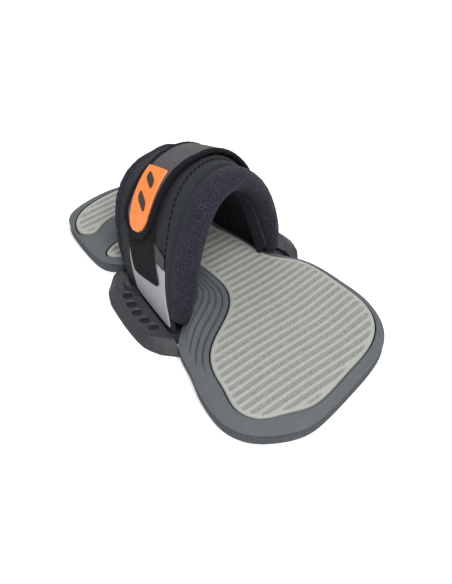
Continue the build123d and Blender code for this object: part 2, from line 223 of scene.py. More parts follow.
class Builder:
    """Collects vertices and faces, in mm, and makes one object of them."""

    def __init__(self):
        self.verts, self.faces, self.slots, self.uvs, self.marks = [], [], [], [], []
        self.count = 0

    def add(self, verts, faces, slot=0, uv=None, mark=None):
        first = self.count
        verts = np.asarray(verts, float)
        self.verts.append(verts)
        self.count += len(verts)
        self.faces += [tuple(int(i) + first for i in f) for f in faces]
        self.slots += [slot] * len(faces)
        self.uvs.append(verts[:, :2] if uv is None else np.asarray(uv, float))
        self.marks.append(np.zeros(len(verts)) if mark is None else np.asarray(mark, float))

    def relief(self, loops, points, top, levels, pockets=(), place=None, mark=None):
        """A solid with a height field on top and holes inside its first loop.

        levels: (height, inset) pairs down the outer wall.
        pockets: (loop, floor height) pairs that are let into the top.
        """
        holes = [loop[::-1] for loop in loops[1:]]
        sunk = [loop[::-1] for loop, _ in pockets]
        co, tri, rings = triangulate([loops[0]] + holes + sunk, points)
        place = place or (lambda p: p)
        height = top(co)
        shade = mark(co) if mark else None
        self.add(place(np.c_[co, height]), tri, 0, co, shade)
        self.walls(co, height, rings[0], loops[0], levels, place)
        for ring in rings[1 : 1 + len(holes)]:
            self.walls(co, height, ring, None, [(0.0, 0.0)], place)
        for ring, (loop, floor) in zip(rings[1 + len(holes) :], pockets):
            self.walls(co, height, ring, None, [(floor, 0.0)], place, slot=1)
            flat, under, _ = triangulate([loop], np.zeros((0, 2)))
            self.add(place(np.c_[flat, np.full(len(flat), floor)]), under, 1, flat)
        last = loops[0] - outward(loops[0]) * levels[-1][1]
        flat, under, _ = triangulate([last] + holes, np.zeros((0, 2)))
        self.add(place(np.c_[flat, np.full(len(flat), levels[-1][0])]), under[:, ::-1], 0, flat)

    def walls(self, co, height, ring, loop, levels, place, slot=0):
        """Bands of quads from a ring of top vertices down through the levels."""
        n = len(ring)
        here = co[ring]
        rows = [np.c_[here, height[ring]]]
        normal = outward(loop) if loop is not None else None
        for z, inset in levels:
            if callable(inset):
                shift = inset(np.arange(n) / n)[:, None]
            else:
                shift = inset
            flat = here - normal * shift if normal is not None else here
            rows.append(np.c_[flat, np.full(n, z)])
        verts = np.concatenate(rows)
        faces = []
        for r in range(len(rows) - 1):
            for i in range(n):
                j = (i + 1) % n
                faces.append((r * n + i, (r + 1) * n + i, (r + 1) * n + j, r * n + j))
        self.add(place(verts), faces, slot, verts[:, :2])

    def shell(self, outer, inner, uv, mark=None):
        """A sheet with thickness between two grids of points."""
        n, m = outer.shape[:2]
        self.grid(outer, uv, False, mark)
        self.grid(inner, uv, True, mark)
        rim = [(i, 0) for i in range(n)] + [(n - 1, j) for j in range(1, m)]
        rim += [(i, m - 1) for i in range(n - 2, -1, -1)] + [(0, j) for j in range(m - 2, 0, -1)]
        k = len(rim)
        verts = [outer[i, j] for i, j in rim] + [inner[i, j] for i, j in rim]
        flat = [uv[i, j] for i, j in rim] * 2
        self.add(verts, [(i, (i + 1) % k, k + (i + 1) % k, k + i) for i in range(k)], 0, flat)

    def grid(self, points, uv, flip, mark=None):
        n, m = points.shape[:2]
        faces = []
        for i in range(n - 1):
            for j in range(m - 1):
                f = (i * m + j, i * m + j + 1, (i + 1) * m + j + 1, (i + 1) * m + j)
                faces.append(f[::-1] if flip else f)
        self.add(points.reshape(-1, 3), faces, 0, uv.reshape(-1, 2), None if mark is None else mark.ravel())

    def tube(self, rings):
        """A skin over rings of points, with its ends filled."""
        n, k = rings.shape[:2]
        faces = []
        for i in range(n - 1):
            for j in range(k):
                a, b = i * k + j, i * k + (j + 1) % k
                faces.append((a, b, b + k, a + k))
        faces.append(tuple(range(k))[::-1])
        faces.append(tuple(range((n - 1) * k, n * k)))
        along = np.repeat(np.arange(n), k) * np.linalg.norm(rings[1, 0] - rings[0, 0])
        around = np.tile(np.arange(k), n) * np.linalg.norm(rings[0, 1] - rings[0, 0])
        self.add(rings.reshape(-1, 3), faces, 0, np.c_[along, around])

    def make(self, name, materials, angle):
        mesh = bpy.data.meshes.new(name)
        verts = np.concatenate(self.verts) * MM
        mesh.from_pydata(verts.tolist(), [], self.faces)
        for material in materials:
            mesh.materials.append(material)
        mesh.polygons.foreach_set("material_index", self.slots)
        uv = np.concatenate(self.uvs) * MM
        layer = mesh.uv_layers.new(name="cloth")
        corner = np.empty(len(mesh.loops), int)
        mesh.loops.foreach_get("vertex_index", corner)
        layer.data.foreach_set("uv", uv[corner].astype(np.float32).ravel())
        mark = mesh.attributes.new("depth", "FLOAT", "POINT")
        mark.data.foreach_set("value", np.concatenate(self.marks).astype(np.float32))
        bm = bmesh.new()
        bm.from_mesh(mesh)
        bmesh.ops.remove_doubles(bm, verts=bm.verts, dist=1e-6)
        bmesh.ops.recalc_face_normals(bm, faces=bm.faces)
        bm.to_mesh(mesh)
        bm.free()
        mesh.shade_smooth()
        mesh.set_sharp_from_angle(angle=math.radians(angle))
        obj = bpy.data.objects.new(name, mesh)
        bpy.context.scene.collection.objects.link(obj)
        return obj


# ---------------------------------------------------------------- materials
class Paint:
    """A node material with short calls for its parts."""

    def __init__(self, name, rough, metallic=0.0, sheen=0.0, specular=0.5):
        self.material = bpy.data.materials.new(name)
        self.material.use_nodes = True
        self.tree = self.material.node_tree
        self.tree.nodes.clear()
        self.out = self.node("ShaderNodeOutputMaterial")
        self.shader = self.node("ShaderNodeBsdfPrincipled")
        self.tree.links.new(self.shader.outputs[0], self.out.inputs[0])
        self.shader.inputs["Metallic"].default_value = metallic
        self.shader.inputs["Specular IOR Level"].default_value = specular
        self.shader.inputs["Sheen Weight"].default_value = sheen
        self.shader.inputs["Sheen Roughness"].default_value = 0.6
        self.shader.inputs["Roughness"].default_value = rough
        self.place = self.node("ShaderNodeTexCoord").outputs["Object"]
        self.normal = None

    def node(self, kind, **values):
        made = self.tree.nodes.new(kind)
        for key, value in values.items():
            setattr(made, key, value)
        return made

    def plug(self, socket, value):
        if isinstance(value, bpy.types.NodeSocket):
            self.tree.links.new(value, socket)
        else:
            socket.default_value = value

    def noise(self, scale, detail=2.0, rough=0.5):
        n = self.node("ShaderNodeTexNoise")
        self.plug(n.inputs["Vector"], self.place)
        n.inputs["Scale"].default_value = scale
        n.inputs["Detail"].default_value = detail
        n.inputs["Roughness"].default_value = rough
        return n.outputs["Fac"]

    def cells(self, scale):
        n = self.node("ShaderNodeTexVoronoi")
        self.plug(n.inputs["Vector"], self.place)
        n.inputs["Scale"].default_value = scale
        return n.outputs["Distance"]

    def maths(self, operation, a, b=0.0, clamp=False):
        n = self.node("ShaderNodeMath", operation=operation, use_clamp=clamp)
        self.plug(n.inputs[0], a)
        self.plug(n.inputs[1], b)
        return n.outputs[0]

    def ramp(self, value, *stops):
        n = self.node("ShaderNodeValToRGB")
        self.plug(n.inputs[0], value)
        while len(n.color_ramp.elements) < len(stops):
            n.color_ramp.elements.new(0.5)
        for element, (at, colour) in zip(n.color_ramp.elements, stops):
            element.position = at
            element.color = (*colour, 1)
        return n.outputs[0]

    def mix(self, factor, a, b):
        n = self.node("ShaderNodeMix", data_type="RGBA")
        self.plug(n.inputs["Factor"], factor)
        self.plug(n.inputs["A"], (*a, 1) if isinstance(a, tuple) else a)
        self.plug(n.inputs["B"], (*b, 1) if isinstance(b, tuple) else b)
        return n.outputs["Result"]

    def colour(self, value):
        self.plug(self.shader.inputs["Base Color"], value)

    def roughness(self, noise, low, high, top=0.7):
        tone = self.ramp(noise, (0.3, (low,) * 3), (top, (high,) * 3))
        self.plug(self.shader.inputs["Roughness"], tone)

    def mottle(self, noise, share, tone, shade):
        """Fades a tone towards a darker one in the noise's light patches."""
        return self.mix(self.maths("MULTIPLY", noise, share), tone, shade)

    def relief(self, height, strength, size):
        n = self.node("ShaderNodeBump")
        n.inputs["Strength"].default_value = strength
        n.inputs["Distance"].default_value = size
        self.plug(n.inputs["Height"], height)
        if self.normal is not None:
            self.tree.links.new(self.normal, n.inputs["Normal"])
        self.normal = n.outputs[0]
        self.plug(self.shader.inputs["Normal"], self.normal)

    def weave(self, pitch):
        """A plain weave along the cloth's own directions: 0 between threads and 1 on their crests."""
        uv = self.node("ShaderNodeUVMap", uv_map="cloth")
        split = self.node("ShaderNodeSeparateXYZ")
        self.tree.links.new(uv.outputs[0], split.inputs[0])
        turn = 2 * math.pi / pitch
        a, b = [self.maths("SINE", self.maths("MULTIPLY", split.outputs[i], turn)) for i in (0, 1)]
        return self.maths("ADD", self.maths("MULTIPLY", self.maths("MULTIPLY", a, b), 0.5), 0.5)

    def depth(self):
        """The mark that a Builder stored at each vertex."""
        return self.node("ShaderNodeAttribute", attribute_name="depth").outputs["Fac"]


def grey(r, g, b):
    """sRGB numbers from 0 to 255 as linear light."""
    return tuple((v / 255 / 12.92) if v < 10.3 else ((v / 255 + 0.055) / 1.055) ** 2.4 for v in (r, g, b))


def scaled(colour, share):
    return tuple(min(1.0, v * share) for v in colour)


def foam_paint(name, base, shade_with_grain=False):
    """Moulded EVA foam: fine closed cells, soft mottling and painted shade in the grooves and gaps."""
    p = Paint(name, 0.85, specular=0.2)
    fine, broad = p.noise(1500, 3, 0.6), p.noise(45, 3)
    tone = p.ramp(fine, (0.3, scaled(base, 0.72)), (0.52, base), (0.75, scaled(base, 1.32)))
    tone = p.mottle(broad, 0.35, tone, scaled(base, 0.82))
    if shade_with_grain:
        # Painted shade in the deck's drainage grooves, with a grainy texture, by the vertex mark.
        groove_shade = p.maths("MULTIPLY", p.depth(), 0.9, clamp=True)
        shaded_grain_tone = p.ramp(p.noise(1100, 2, 0.7), (0.38, scaled(base, 0.42)), (0.62, scaled(base, 0.82)))
        tone = p.mix(groove_shade, tone, shaded_grain_tone)
    else:
        # Painted shade: the vertex mark darkens the footbed's contour grooves and the gaps round the decks.
        tone = p.mix(p.maths("MULTIPLY", p.depth(), 0.8, clamp=True), tone, scaled(base, 0.3))
    p.colour(tone)
    p.roughness(broad, 0.75, 0.9)
    p.relief(fine, 0.35, 0.0004)
    p.relief(p.cells(700), 0.12, 0.0004)
    return p.material


def jersey_paint(name, base, speck):
    """Knitted jersey on neoprene: rows of small stitches with lighter flecks."""
    p = Paint(name, 0.85, sheen=0.03, specular=0.12)
    knit, fleck = p.cells(1100), p.noise(1200, 2, 0.8)
    tone = p.ramp(fleck, (0.4, scaled(base, 0.7)), (0.54, scaled(base, 1.3)), (0.68, speck))
    tone = p.mottle(p.noise(30, 2), 0.4, tone, scaled(base, 0.7))
    # Painted shade: the vertex mark darkens the cloth, deepest inside the strap's lining.
    tone = p.mix(p.depth(), tone, scaled(base, 0.3))
    p.colour(tone)
    p.relief(knit, 0.55, 0.0005)
    p.relief(p.noise(160, 2), 0.15, 0.0008)
    return p.material


def woven_paint(name, base, pitch, rough, contrast, specular=0.14):
    """Woven cloth with its threads along the piece's own directions."""
    p = Paint(name, rough, sheen=0.02, specular=specular)
    weave = p.weave(pitch)
    tone = p.ramp(weave, (0.1, scaled(base, 1 - contrast)), (0.8, scaled(base, 1 + contrast * 0.6)))
    tone = p.mottle(p.noise(90, 4, 0.6), 0.5, tone, scaled(base, 0.7))
    p.colour(tone)
    p.roughness(p.noise(300, 3), rough - 0.12, min(rough + 0.12, 1))
    p.relief(weave, 0.5, 0.0004)
    p.relief(p.noise(1400, 2), 0.15, 0.0003)
    return p.material


def pile_paint(name, base):
    """Brushed loop pile, dull and tangled."""
    p = Paint(name, 0.95, sheen=0.03, specular=0.04)
    tangle = p.noise(800, 5, 0.8)
    p.colour(p.ramp(tangle, (0.42, scaled(base, 0.3)), (0.55, base), (0.66, scaled(base, 3.6))))
    p.relief(tangle, 1.0, 0.0012)
    p.relief(p.noise(380, 3), 0.5, 0.0012)
    return p.material


def plastic_paint(name, base, rough, grain=0.25):
    """Moulded plastic with a fine spark-eroded grain and scuffs."""
    p = Paint(name, rough, specular=0.45)
    scuff = p.noise(70, 5, 0.65)
    tone = p.ramp(scuff, (0.3, scaled(base, 0.85)), (0.65, scaled(base, 1.12)), (0.8, scaled(base, 1.35)))
    p.colour(tone)
    p.roughness(scuff, rough - 0.08, rough + 0.14, 0.75)
    p.relief(p.noise(1600, 3, 0.6), grain, 0.0003)
    return p.material


def metal_paint(name, base, rough):
    """Turned metal with fine tool marks."""
    p = Paint(name, rough, metallic=1.0)
    marks = p.noise(900, 4, 0.7)
    p.colour(p.ramp(marks, (0.3, scaled(base, 0.8)), (0.7, scaled(base, 1.1))))
    p.roughness(p.noise(120, 3), rough, rough + 0.15)
    p.relief(marks, 0.1, 0.0002)
    return p.material


def coated_paint(name, base):
    """Coated cloth: a thin smooth film over a fine weave."""
    p = Paint(name, 0.5)
    weave = p.weave(0.9 * MM)
    tone = p.mottle(p.noise(140, 4, 0.6), 0.45, base, scaled(base, 0.8))
    p.colour(p.mottle(weave, 0.18, tone, scaled(base, 0.75)))
    p.relief(weave, 0.2, 0.0002)
    p.relief(p.noise(1300, 2), 0.18, 0.0002)
    return p.material


def rubber_paint(name, base, rough):
    """Smooth moulded rubber with a faint bloom."""
    p = Paint(name, rough)
    fine = p.noise(900, 3, 0.6)
    p.colour(p.ramp(p.noise(60, 3), (0.3, scaled(base, 0.93)), (0.7, scaled(base, 1.05))))
    p.roughness(fine, rough, rough + 0.12)
    p.relief(fine, 0.16, 0.0002)
    return p.material


dark_foam = foam_paint("eva_dark", grey(79, 84, 87))
# Near-black foam for the deck pockets' walls and floors: painted shade in the gaps round the decks.
gap_shade_foam = foam_paint("eva_gap_shade", grey(18, 19, 21))
# The pale decks take the grainy painted shade in their grooves.
pale_foam = foam_paint("eva_pale", grey(143, 145, 139), shade_with_grain=True)
nylon = plastic_paint("nylon_wing", grey(36, 35, 40), 0.55)
jersey = jersey_paint("jersey_roll", grey(26, 26, 36), grey(70, 72, 86))
panel_cloth = woven_paint("panel_weave", grey(36, 39, 42), 1.3 * MM, 0.8, 0.85)
band_cloth = woven_paint("band_weave", grey(72, 70, 74), 0.7 * MM, 0.7, 0.22)
edge_cloth = woven_paint("edge_tape", grey(17, 17, 22), 1.0 * MM, 0.8, 0.6, 0.07)
tape_cloth = woven_paint("sizing_tape", grey(66, 66, 69), 0.8 * MM, 0.7, 0.3)
pile = pile_paint("loop_pile", grey(27, 27, 32))
patch_cloth = coated_paint("coated_patch", grey(150, 150, 154))
orange = rubber_paint("badge_orange", grey(236, 118, 44), 0.42)
ink = rubber_paint("badge_ink", grey(26, 24, 24), 0.5)
thread = woven_paint("thread", grey(8, 8, 10), 0.5 * MM, 0.8, 0.5, 0.05)
steel = metal_paint("steel", grey(190, 190, 192), 0.3)
brass = metal_paint("brass", grey(205, 170, 105), 0.35)
hooks = plastic_paint("hook_tape", grey(20, 20, 22), 0.45, 0.9)
core_plastic = plastic_paint("core_sheet", grey(40, 40, 42), 0.6)
gel = rubber_paint("gel", grey(70, 74, 82), 0.35)

# ---------------------------------------------------------------- the strap's surface
FOOT = 4.6                      # strap foot above the board
KEYS = (0.0, 0.25, 0.75, 1.0)
HEIGHT = np.polyfit(KEYS, (109.5, 104.3, 89.2, 82.0), 3)
FULLNESS = np.polyfit(KEYS, (2.12, 2.15, 2.3, 2.6), 3)
LEAN = np.polyfit(KEYS, (15.0, 19.0, 23.5, 25.0), 3)
ACROSS = 76.0                   # mm across the strap for one unit of s
ALONG = 82.0                    # mm along the arch for one radian


def strap(s, turn, off):
    """Points on the strap: s from heel edge 0 to toe edge 1, turn from the left foot 0 to the right foot pi."""
    s, turn, off = np.broadcast_arrays(np.asarray(s, float), turn, off)
    tuck = np.clip(1 - s / 0.25, 0, 1.3)        # the heel edge's right foot is pulled in
    lx, ly = -60 + 12 * s, -39.5 + 70 * s
    rx, ry = 65 - 9 * s - 8 * tuck, -21.5 + 66 * s + 5.5 * tuck
    height, full, lean = np.polyval(HEIGHT, s), np.polyval(FULLNESS, s), np.polyval(LEAN, s)
    c = np.cos(turn)
    across = np.sign(c) * np.abs(c) ** (2 / full)
    up = np.abs(np.sin(turn)) ** (2 / full)
    x = (rx + lx) / 2 - ((rx - lx) / 2 + off) * across
    rise = (height + off - FOOT) * up
    y = ly + (ry - ly) / (rx - lx) * (x - lx) + lean * rise / (height - FOOT)
    return np.stack([x, y, FOOT + rise], -1)


def on_strap(p):
    """Places points that are given in mm across, along and above the strap."""
    return strap(p[:, 0] / ACROSS, p[:, 1] / ALONG, p[:, 2])


def drawn(points):
    """(s, degrees) pairs as mm across and along."""
    return np.array([(s * ACROSS, math.radians(t) * ALONG) for s, t in points])


def unit(v):
    return v / np.linalg.norm(v, axis=-1, keepdims=True)


def strip_path(s, turn, off):
    """Points on the strap with the directions out of it and sideways."""
    at = strap(s, turn, off)
    out = unit(strap(s, turn, off + 1.0) - at)
    along = unit(np.gradient(at, axis=0))
    side = unit(np.cross(along, out))
    out = np.cross(side, along)
    return at, out, side


def sweep(builder, at, out, side, sections):
    """A bar along a path, with one cross-section (sideways, outward) or one for each point of the path."""
    builder.tube(at[:, None] + side[:, None] * sections[..., :1] + out[:, None] * sections[..., 1:])


def rounded_bar(width, height, count, power):
    """A soft-cornered flat bar as a cross-section."""
    c, s = circle(count).T
    x = np.sign(c) * np.abs(c) ** (2 / power) * width / 2
    y = np.sign(s) * np.abs(s) ** (2 / power) * height / 2
    return np.stack([x, y], 1)


def stitches(builder, s, turn, off, length, gap, radius):
    """A row of separate stitches along a line on the strap."""
    at, out, _ = strip_path(s, turn, off)
    run = np.r_[0, np.cumsum(np.linalg.norm(np.diff(at, axis=0), axis=1))]
    count = int(run[-1] / (length + gap))
    ring = circle(6)
    for i in range(count):
        stretch = np.linspace(0, 1, 5)
        where = (i + 0.5 * gap / (length + gap)) * (length + gap) + stretch * length
        p = np.stack([np.interp(where, run, at[:, k]) for k in range(3)], 1)
        up = np.stack([np.interp(where, run, out[:, k]) for k in range(3)], 1)
        arch = np.sin(np.pi * stretch)[:, None]
        p = p + up * (arch * 0.25 - 0.1)
        along = unit(np.gradient(p, axis=0))
        side = unit(np.cross(along, up))
        size = radius * (0.45 + 0.55 * arch)
        sweep(builder, p, up, side, ring * size[:, None])


def turns(first, last, count):
    return np.radians(np.linspace(first, last, count))


# ---------------------------------------------------------------- outlines of the pad
PAD = [(-47.5, -36), (-54, -45), (-65, -55), (-76, -82), (-82.5, -98), (-87.3, -115), (-89, -134), (-83, -151),
       (-67, -165), (-47, -172.5), (-28, -171.5), (0, -166), (28, -159), (47, -150.5), (60, -138), (69.5, -118),
       (72.3, -104), (72.3, -84), (71, -61), (65, -41), (52.4, -20), (48, 5),
       (44.5, 30), (45, 43), (53, 58), (57, 74), (53, 94), (37, 117), (10, 128.5), (-20, 128.5), (-44, 119),
       (-52, 97), (-55.5, 70), (-54, 53), (-44, 41), (-36.5, 30), (-40, 5), (-44, -15)]
MAIN_DECK = [(-4, -36), (-12.5, -49), (-35, -64.5), (-56.5, -80), (-66, -95), (-71.5, -113), (-76.5, -133),
             (-70.5, -147.5), (-54, -156), (-36, -162.5), (-18, -161.5), (8, -155.5), (33, -149), (46, -142.5),
             (60, -128), (66, -113), (67.5, -88), (66.5, -62), (62, -45), (49, -26), (45, -5), (41, 20),
             (40, 40), (46, 55), (40, 62), (10, 65), (-20, 65.5), (-42, 63), (-49.5, 57), (-46, 50), (-30, 41),
             (-10, 26), (-2, 5), (-1, -16)]
TOE_DECK = [(-48, 103), (-49, 91), (-43, 86), (-30, 90.5), (0, 93), (28, 91), (43, 86), (50, 92), (46, 104),
            (32, 114), (12, 121.5), (-12, 122), (-34, 116.5)]
ARCH_FOOT = np.array([(-42, 34), (-24, 32), (-7, 14), (-4, -14), (-8, -38), (-17, -52), (-43, -67), (-66, -70),
                      (-60, -52), (-48, -38)], float)
ARCH_CROWN = np.array([(-42, 20), (-32, 20), (-24, 6), (-20, -12), (-24, -28), (-32, -38), (-44, -46), (-56, -52),
                       (-54, -46), (-47, -36)], float)
WING = [(-53, 44), (-68, 30), (-74, 18), (-77, 5), (-80, -10), (-82, -26), (-82, -35), (-80, -42), (-77, -49),
        (-66, -61.5)]
PLATFORM = [(-50, 38), (-61, 27), (-67, 15), (-71, 3), (-74, -11), (-75.5, -23), (-75.5, -32), (-72.5, -36.5),
            (-69, -40), (-61, -50)]
SLOT_HEEL, SLOT_TOE = (-63.6, -46.5), (-49.4, 36.1)     # the wing's edge beside the strap
WING_SHIFT, WING_OUTSET = 22.0, 1.5     # how far the right wing stands nearer the toes and further out
WING_FOOT, WING_RISE = 2.5, 5.5         # height of the wing's outer edge, and from there up to its platform
HOLE_ARC, HOLE_CENTRE = 80.0, (11.7, -19.3)     # the row of screw holes lies on an arc
HOLE_TURN, HOLE_STEP = 8.2, 7.4         # degrees: the middle hole's place on the arc, and hole to hole
HOLE_RADIUS, INSERT_RADIUS = 3.5, 3.4
RIM = 13.0                      # pad rim above the board
DECK_TOP = 13.6
DECK_FLOOR = 10.0
RIB_PITCH = 6.6
GROOVES, GROOVE_START, GROOVE_PITCH = 6, 5.2, 4.8       # contour grooves beside the deck
ARCH_RISE, TOE_BAR_RISE = 7.0, 4.8
WALL_RIDGES = 400

pad_loop = spline_loop(PAD, 2000)
pad_line = spline_loop(PAD, 420)
deck_loop = spline_loop(MAIN_DECK, 900)
deck_line = spline_loop(MAIN_DECK, 400)
toe_loop = spline_loop(TOE_DECK, 420)
toe_line = spline_loop(TOE_DECK, 200)


# ---------------------------------------------------------------- footbed
def pad_height(p):
    """The footbed's top: crowned rim, arch support with contour grooves, and the toe bar."""
    x, y = p[:, 0], p[:, 1]
    out = distance(p, pad_line)
    deck = distance(p, deck_line)
    toe = distance(p, toe_line)
    z = RIM - 3.1 * (1 - np.clip(out / 9.5, 0, 1)) ** 2.2
    low, high = distance(p, ARCH_FOOT), distance(p, ARCH_CROWN)
    low = np.where(inside(p, ARCH_FOOT), low, 0)
    high = np.where(inside(p, ARCH_CROWN), 0, high)
    share = low / (low + high + 1e-6)
    z += ARCH_RISE * smooth(share, 0.0, 1.0) * smooth(out, 0, 9)
    oval = np.sqrt(((x + 3) / 47) ** 2 + ((y - 77) / 11.5) ** 2)
    z += TOE_BAR_RISE * smooth(1 - oval, 0.0, 0.75)
    z -= 0.9 * (1 - np.clip(deck / 1.3, 0, 1)) ** 2 + 0.9 * (1 - np.clip(toe / 1.3, 0, 1)) ** 2
    z -= 1.0 * groove_mask(p, out) * groove_lines(deck)
    return z


def groove_lines(deck):
    """1 along each contour groove, by the distance from the deck's edge."""
    return sum(bump(deck, GROOVE_START + GROOVE_PITCH * k, 0.55) for k in range(GROOVES))


def groove_mask(p, out):
    """Where the contour grooves are: beside the deck, under and behind the strap's left foot."""
    x, y = p[:, 0], p[:, 1]
    return smooth(y, -104, -76) * smooth(-y, -36, -22) * smooth(-x, -12, -2) * smooth(out, 3.5, 7)


def pad_shade_mark(p):
    """How deep in a groove or gap the surface is, for the painted shade in its colour."""
    out, deck = distance(p, pad_line), distance(p, deck_line)
    toe = distance(p, toe_line)
    # Painted shade in the narrow gaps round both decks.
    gaps = bump(deck, 0.4, 0.5) + bump(toe, 0.4, 0.5)
    return np.clip(0.9 * groove_mask(p, out) * groove_lines(deck) + gaps, 0, 1)


def footbed():
    pockets = [parallel(loop, 0.5) for loop in (deck_loop, toe_loop)]
    insets = ((0.7, 1), (1.6, 2), (2.7, 3), (4.0, 4), (5.6, 5), (7.4, 5))
    pieces = [parallel(pad_loop, -d, k) for d, k in insets]
    pieces += [parallel(loop, d) for d in (1.0, 1.5, 2.2) for loop in (deck_loop, toe_loop)]
    for k in range(GROOVES):
        for side in (-1.0, -0.55, -0.2, 0.2, 0.55, 1.0):
            ring = parallel(deck_loop, GROOVE_START + GROOVE_PITCH * k + side)
            pieces.append(ring[(ring[:, 0] < 12) & (ring[:, 1] > -106) & (ring[:, 1] < 40)])
    rings = np.concatenate(pieces)
    rings = rings[inside(rings, pad_line)]
    rings = thin(rings[distance(rings, pad_line) > 0.55], 0.42)
    points = np.concatenate([rings, apart(lattice(pad_line, 2.2, 2.0), rings, 1.0)])
    for loop in pockets:
        points = points[~inside(points, loop[::2])]
        points = points[distance(points, loop[::2]) > 0.3]

    def ridge(base):
        """An upright ridge pattern as the inset along the wall."""
        return lambda share: base + 0.5 + 0.5 * np.cos(share * 2 * np.pi * WALL_RIDGES)

    levels = [(9.8, -0.25), (9.5, -0.1), (9.2, 0.6), (8.8, ridge(0.4)), (1.2, ridge(0.2)), (0.8, 0.7),
              (0.3, 1.4)]
    # The pockets' walls and floors take the second material, a near-black painted shade.
    floors = [(loop, DECK_FLOOR) for loop in pockets]
    b = Builder()
    # The mark paints shade into the contour grooves and deck gaps.
    b.relief([pad_loop], points, pad_height, levels, floors, mark=pad_shade_mark)
    return b.make("footbed_foam", [dark_foam, gap_shade_foam], 50)


def thin(points, gap):
    """Leaves out points that fall on top of earlier ones."""
    seen, keep = set(), []
    for i, (x, y) in enumerate(points):
        key = (round(x / gap), round(y / gap))
        if key not in seen:
            seen.add(key)
            keep.append(i)
    return points[keep]


# ---------------------------------------------------------------- decks
def rib_bend(x, y):
    """The ribs curve a little towards the toes on the outer side."""
    return 5.0 * smooth(x, 18, 75) * bump(y, -95, 62) - 2.0 * smooth(-x, 20, 80) * bump(y, -110, 50)


def deck(name, loop, line, first, last):
    edge = parallel(loop, -0.55)
    start = first + 0.35 * RIB_PITCH

    def phase(p):
        return (p[:, 1] - rib_bend(p[:, 0], p[:, 1]) - start + RIB_PITCH / 2) % RIB_PITCH - RIB_PITCH / 2

    def groove(p):
        """1 in a drainage groove and 0 on a ridge, with round ends inside the deck's margin."""
        away = distance(p, line)
        corner = 1.5
        qx = np.abs(phase(p)) - (1.75 - corner)
        qy = 3.3 + corner - away
        far = np.hypot(np.maximum(qx, 0), np.maximum(qy, 0)) + np.minimum(np.maximum(qx, qy), 0) - corner
        return smooth(-far, -0.35, 0.55)

    def height(p):
        away = distance(p, line)
        z = DECK_TOP - 0.9 * (1 - np.clip((away - 0.55) / 1.5, 0, 1)) ** 2
        crown = 0.25 * bump(np.abs(phase(p)) - RIB_PITCH / 2, 0, 0.9) * smooth(away, 3, 6)
        return z + crown - 1.15 * groove(p)

    rows = []
    low, high = loop.min(0), loop.max(0)
    x = np.arange(low[0] - 2, high[0] + 2, 1.15)
    for k in range(-2, int((last - first) / RIB_PITCH) + 3):
        for off in (-2.7, -2.2, -1.95, -1.65, -1.3, -0.6, 0.6, 1.3, 1.65, 1.95, 2.2, 2.7):
            level = start + k * RIB_PITCH + off
            y = np.full(len(x), level)
            for _ in range(3):
                y = level + rib_bend(x, y)
            rows.append(np.stack([x, y], 1))
    rows = np.concatenate(rows)
    rows = rows[inside(rows, line)]
    rows = rows[distance(rows, line) > 2.4]
    rings = np.concatenate([parallel(loop, -d) for d in (0.9, 1.3, 1.9)])
    points = np.concatenate([thin(rings, 0.4), rows])
    b = Builder()
    # The groove mark also paints shade into the drainage grooves.
    b.relief([edge], points, height, [(12.3, 0.0), (DECK_FLOOR, 0.1)], mark=groove)
    return b.make(name, [pale_foam], 60)


# ---------------------------------------------------------------- plate
def hole_centres(side):
    """The five screw holes of one wing."""
    out = []
    for i in range(5):
        angle = math.radians(180 - HOLE_TURN + (i - 2) * HOLE_STEP)
        x, y = HOLE_CENTRE[0] + HOLE_ARC * math.cos(angle), HOLE_CENTRE[1] + HOLE_ARC * math.sin(angle)
        out.append((x, y) if side < 0 else (WING_OUTSET - x, y + WING_SHIFT))
    return np.array(out)


def flip(points, side):
    """The same points for the right wing, kept counterclockwise."""
    p = np.array(points, float)
    if side < 0:
        return p
    return np.stack([WING_OUTSET - p[:, 0], p[:, 1] + WING_SHIFT], 1)[::-1]


def nearest(p, centres):
    """Distance from each point to the nearest centre."""
    return np.linalg.norm(p[:, None] - centres, axis=2).min(1)


def wing(builder, side):
    outline = flip(WING + [(-64.4, -50), SLOT_HEEL, SLOT_TOE, (-47.5, 41)], side)
    loop = rounded_loop(outline, 420, 0.12, 3)
    edge, platform = flip(WING, side), flip(PLATFORM + [(-40, -50), (-40, 38)], side)
    centres, disc = hole_centres(side), circle(36)
    dent = flip([(-54.5, 17.0)], side)[0]

    def height(p):
        out = distance(p, edge, closed=False)
        flat = np.where(inside(p, platform), 0, distance(p, platform))
        share = out / (out + flat + 1e-6)
        rise = np.clip((share - 0.1) / 0.82, 0, 1)
        z = WING_FOOT + WING_RISE * (0.7 * rise + 0.3 * smooth(rise, 0, 1))
        z -= 0.8 * (1 - np.clip(out / 1.0, 0, 1)) ** 2
        r = nearest(p, centres)
        z += 0.35 * bump(r, 4.6, 0.55) - 0.5 * (1 - np.clip((r - HOLE_RADIUS) / 0.6, 0, 1)) ** 2
        z -= 2.6 * smooth(-np.hypot((p[:, 0] - dent[0]) / 3.2, (p[:, 1] - dent[1]) / 9.0), -1.25, -0.6)
        z -= 0.4 * bump(flat, 0.0, 0.5) * (share < 1)
        return z

    holes = [c + disc * HOLE_RADIUS for c in centres]
    rings = [c + disc * r for c in centres for r in (3.75, 4.1, 4.6, 5.2)]
    rings += [parallel(loop, -d) for d in (0.5, 1.0, 1.7)]
    rings = np.concatenate(rings)
    rings = rings[distance(rings, loop) > 0.3]
    grid = apart(lattice(loop, 1.1, 1.6), rings, 0.6)
    points = np.concatenate([thin(rings, 0.3), grid[nearest(grid, centres) > 3.9]])
    points = points[nearest(points, centres) > 3.6]
    builder.relief([loop] + holes, points, height, [(0.5, 0.0), (0.0, 0.5)])


